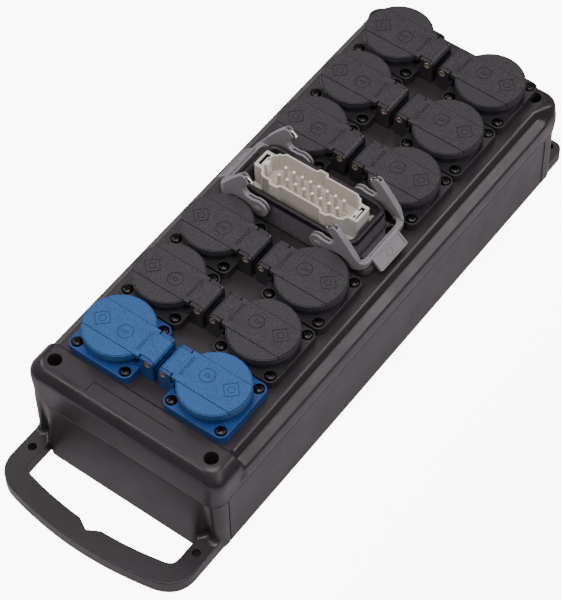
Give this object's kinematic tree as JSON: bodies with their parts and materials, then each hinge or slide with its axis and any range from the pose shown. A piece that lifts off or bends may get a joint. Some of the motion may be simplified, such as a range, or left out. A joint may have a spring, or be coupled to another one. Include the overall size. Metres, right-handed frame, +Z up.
{
  "type": "portable power distribution box",
  "caption": "Solid-rubber portable power distribution box: a multipole inlet with locking levers feeds columns of sockets with hinged lids; carrying handle and wall-fixing holes.",
  "frame": {"origin": "on the flat underside, below the middle of the socket array and of the inlet", "axes": "+Z up out of the socket panel, +Y along the box away from the carrying handle, +X to the right seen from the handle"},
  "size_m": [0.1548, 0.4487, 0.1212],
  "materials": {
    "rubber": "satin moulded solid rubber",
    "black_plastic": "fine textured black",
    "blue_plastic": "fine textured blue",
    "seal": "soft black elastomer",
    "steel": "plain",
    "dark_steel": "blackened",
    "housing": "dark grey satin powder coat",
    "lever": "mid grey satin",
    "insert": "light beige",
    "cable": "cable sheath"
  },
  "bodies": {
    "enclosure": {"base_shell": "rubber", "top_shell": "rubber", "shell_gasket": "seal", "shell_bolt_near_left": "dark_steel", "shell_bolt_near_right": "dark_steel", "shell_bolt_far_left": "dark_steel", "shell_bolt_far_right": "dark_steel", "socket_left_1": "blue_plastic", "lid_pin_left_1": "steel", "socket_right_1": "blue_plastic", "lid_pin_right_1": "steel", "socket_left_2": "black_plastic", "lid_pin_left_2": "steel", "socket_right_2": "black_plastic", "lid_pin_right_2": "steel", "socket_left_3": "black_plastic", "lid_pin_left_3": "steel", "socket_right_3": "black_plastic", "lid_pin_right_3": "steel", "socket_left_4": "black_plastic", "lid_pin_left_4": "steel", "socket_right_4": "black_plastic", "lid_pin_right_4": "steel", "socket_left_5": "black_plastic", "lid_pin_left_5": "steel", "socket_right_5": "black_plastic", "lid_pin_right_5": "steel", "socket_left_6": "black_plastic", "lid_pin_left_6": "steel", "socket_right_6": "black_plastic", "lid_pin_right_6": "steel", "inlet_housing": "housing", "inlet_gasket": "seal", "inlet_rim_seal": "seal", "inlet_insert": "insert", "inlet_screw_near_left": "dark_steel", "inlet_screw_far_left": "dark_steel", "inlet_screw_near_right": "dark_steel", "inlet_screw_far_right": "dark_steel", "earth_clip_left": "steel", "lever_pivot_near_left": "lever", "lever_pivot_far_left": "lever", "earth_clip_right": "steel", "lever_pivot_near_right": "lever", "lever_pivot_far_right": "lever", "wiring_loom": "cable"},
    "lid_left_1": {"lid_left_1": "blue_plastic"},
    "lid_right_1": {"lid_right_1": "blue_plastic"},
    "lid_left_2": {"lid_left_2": "black_plastic"},
    "lid_right_2": {"lid_right_2": "black_plastic"},
    "lid_left_3": {"lid_left_3": "black_plastic"},
    "lid_right_3": {"lid_right_3": "black_plastic"},
    "lid_left_4": {"lid_left_4": "black_plastic"},
    "lid_right_4": {"lid_right_4": "black_plastic"},
    "lid_left_5": {"lid_left_5": "black_plastic"},
    "lid_right_5": {"lid_right_5": "black_plastic"},
    "lid_left_6": {"lid_left_6": "black_plastic"},
    "lid_right_6": {"lid_right_6": "black_plastic"},
    "lever_left": {"lever_left": "lever"},
    "lever_right": {"lever_right": "lever"}
  },
  "joints": [
    {"name": "lid_hinge_left_1", "type": "hinge", "parent": "enclosure", "child": "lid_left_1", "pos_m": [-0.0062, -0.1509, 0.0954], "axis": [0, 1, 0], "range_deg": [0, 90], "stiffness_Nm_per_rad": 0.02},
    {"name": "lid_hinge_right_1", "type": "hinge", "parent": "enclosure", "child": "lid_right_1", "pos_m": [0.0062, -0.1509, 0.0954], "axis": [0, -1, 0], "range_deg": [0, 90], "stiffness_Nm_per_rad": 0.02},
    {"name": "lid_hinge_left_2", "type": "hinge", "parent": "enclosure", "child": "lid_left_2", "pos_m": [-0.0062, -0.1009, 0.0954], "axis": [0, 1, 0], "range_deg": [0, 90], "stiffness_Nm_per_rad": 0.02},
    {"name": "lid_hinge_right_2", "type": "hinge", "parent": "enclosure", "child": "lid_right_2", "pos_m": [0.0062, -0.1009, 0.0954], "axis": [0, -1, 0], "range_deg": [0, 90], "stiffness_Nm_per_rad": 0.02},
    {"name": "lid_hinge_left_3", "type": "hinge", "parent": "enclosure", "child": "lid_left_3", "pos_m": [-0.0062, -0.0509, 0.0954], "axis": [0, 1, 0], "range_deg": [0, 90], "stiffness_Nm_per_rad": 0.02},
    {"name": "lid_hinge_right_3", "type": "hinge", "parent": "enclosure", "child": "lid_right_3", "pos_m": [0.0062, -0.0509, 0.0954], "axis": [0, -1, 0], "range_deg": [0, 90], "stiffness_Nm_per_rad": 0.02},
    {"name": "lid_hinge_left_4", "type": "hinge", "parent": "enclosure", "child": "lid_left_4", "pos_m": [-0.0062, 0.0509, 0.0954], "axis": [0, 1, 0], "range_deg": [0, 90], "stiffness_Nm_per_rad": 0.02},
    {"name": "lid_hinge_right_4", "type": "hinge", "parent": "enclosure", "child": "lid_right_4", "pos_m": [0.0062, 0.0509, 0.0954], "axis": [0, -1, 0], "range_deg": [0, 90], "stiffness_Nm_per_rad": 0.02},
    {"name": "lid_hinge_left_5", "type": "hinge", "parent": "enclosure", "child": "lid_left_5", "pos_m": [-0.0062, 0.1009, 0.0954], "axis": [0, 1, 0], "range_deg": [0, 90], "stiffness_Nm_per_rad": 0.02},
    {"name": "lid_hinge_right_5", "type": "hinge", "parent": "enclosure", "child": "lid_right_5", "pos_m": [0.0062, 0.1009, 0.0954], "axis": [0, -1, 0], "range_deg": [0, 90], "stiffness_Nm_per_rad": 0.02},
    {"name": "lid_hinge_left_6", "type": "hinge", "parent": "enclosure", "child": "lid_left_6", "pos_m": [-0.0062, 0.1509, 0.0954], "axis": [0, 1, 0], "range_deg": [0, 90], "stiffness_Nm_per_rad": 0.02},
    {"name": "lid_hinge_right_6", "type": "hinge", "parent": "enclosure", "child": "lid_right_6", "pos_m": [0.0062, 0.1509, 0.0954], "axis": [0, -1, 0], "range_deg": [0, 90], "stiffness_Nm_per_rad": 0.02},
    {"name": "lever_pivot_left", "type": "hinge", "parent": "enclosure", "child": "lever_left", "pos_m": [-0.0236, 0, 0.097], "axis": [0, 1, 0], "range_deg": [0, 60]},
    {"name": "lever_pivot_right", "type": "hinge", "parent": "enclosure", "child": "lever_right", "pos_m": [0.0236, 0, 0.097], "axis": [0, -1, 0], "range_deg": [0, 60]}
  ]
}
